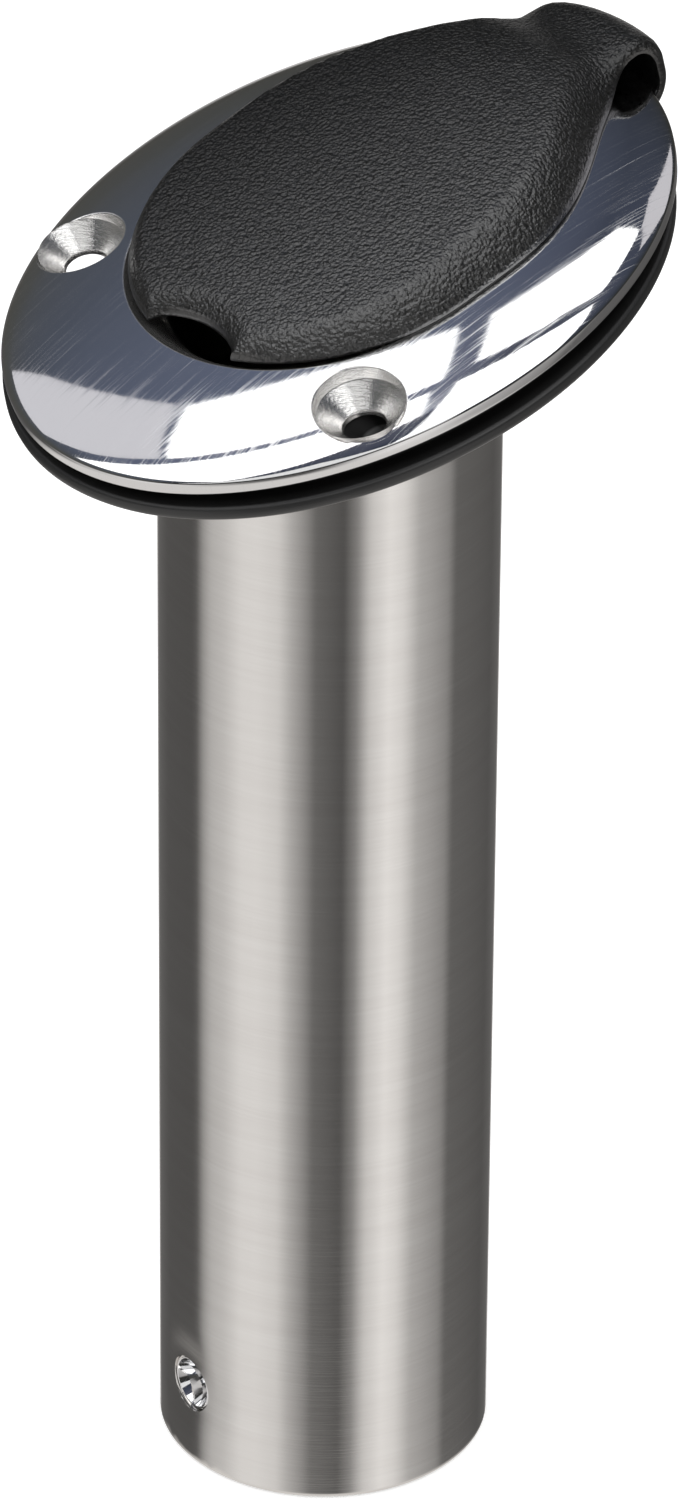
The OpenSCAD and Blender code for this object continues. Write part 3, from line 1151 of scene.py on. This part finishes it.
def tone_round(n, azimuth):
    """The tones round the part, slightly warm."""
    share = n.math("MULTIPLY_ADD", azimuth, 1 / (2 * math.pi), 0.5)
    warm = (1.0, 0.975, 0.955)
    stops = []
    for degrees, tone in TONES:
        colour = tuple(c * w for c, w in zip(srgb(tone, tone, tone), warm))
        stops.append(((degrees + 180) / 360, colour))
    return n.ramp(share, stops)


def mix(n, factor, a, b, blend="MIX"):
    """Colour b laid over colour a."""
    node = n.new("ShaderNodeMix", data_type="RGBA", blend_type=blend)
    for name, value in (("Factor", factor), ("A", a), ("B", b)):
        if isinstance(value, (float, tuple)):
            node.inputs[name].default_value = value
        else:
            n.link(value, node.inputs[name])
    return node.outputs["Result"]


def make_world():
    """White all round, except in reflections. They show the tube's tones below
    the horizon, a pale floor straight down and a dark ceiling between the cards."""
    world = bpy.data.worlds.new("studio")
    bpy.context.scene.world = world
    world.use_nodes = True
    n = Nodes(world.node_tree)
    direction = n.new("ShaderNodeTexCoord").outputs["Generated"]
    split = n.new("ShaderNodeSeparateXYZ")
    n.link(direction, split.inputs[0])
    azimuth = n.math("ARCTAN2", split.outputs["Y"], split.outputs["X"])
    height = split.outputs["Z"]

    z = n.math("MULTIPLY_ADD", height, 0.5, 0.5)
    ceiling = n.ramp(z, [
        (0.50, srgb(74, 73, 69)), (0.66, srgb(72, 73, 72)), (0.80, srgb(74, 79, 90)),
        (0.92, srgb(90, 97, 116)), (1.0, srgb(112, 116, 134)),
    ])
    # It is at full strength on the far, low side and dimmed round the rest
    half_turn = n.math("MULTIPLY", azimuth, 1 / math.pi)
    dimmer = n.ramp(half_turn, [(0.0, 0.45), (0.24, 0.45), (0.36, 0.9), (0.42, 1.0)])
    ceiling = mix(n, 1.0, ceiling, dimmer, "MULTIPLY")

    straight_down = n.math("MULTIPLY_ADD", height, -9.0, -5.35, clamp=True)
    below = mix(n, straight_down, tone_round(n, azimuth), (*srgb(205, 202, 199), 1))
    horizon = n.math("MULTIPLY_ADD", height, 9.0, 0.6, clamp=True)

    reflected = n.new("ShaderNodeBackground")
    n.link(mix(n, horizon, below, ceiling), reflected.inputs["Color"])
    reflected.inputs["Strength"].default_value = 1.12
    white = world.node_tree.nodes["Background"]
    white.inputs["Color"].default_value = (1, 1, 1, 1)
    white.inputs["Strength"].default_value = 1.05
    choose = n.new("ShaderNodeMixShader")
    n.link(n.new("ShaderNodeLightPath").outputs["Is Glossy Ray"], choose.inputs[0])
    n.link(white.outputs[0], choose.inputs[1])
    n.link(reflected.outputs[0], choose.inputs[2])
    n.link(choose.outputs[0], world.node_tree.nodes["World Output"].inputs["Surface"])


CAMERA_PLACE = Vector((-0.71609, -0.81750, 0.60615))
CAMERA_AIM = Vector((0.55992, 0.63746, -0.52928))
CAMERA_ROLL = math.radians(0.45)
CAMERA_LENS = 234.85


def make_camera():
    """A long lens, at the height and side of the reference view."""
    data = bpy.data.cameras.new("camera")
    camera = bpy.data.objects.new("camera", data)
    bpy.context.scene.collection.objects.link(camera)
    forward = CAMERA_AIM.normalized()
    level = forward.cross(Vector((0, 0, 1))).normalized()
    upright = level.cross(forward)
    c, d = math.cos(CAMERA_ROLL), math.sin(CAMERA_ROLL)
    turn = Matrix((c * level + d * upright, c * upright - d * level, -forward)).transposed()
    camera.matrix_world = Matrix.Translation(CAMERA_PLACE) @ turn.to_4x4()
    data.sensor_width = 36
    data.lens = CAMERA_LENS
    data.clip_start, data.clip_end = 0.01, 100
    bpy.context.scene.camera = camera


make_floor()
for entry in CARDS:
    make_card(*entry)
make_world()
make_camera()
bpy.context.scene.view_settings.view_transform = "Standard"
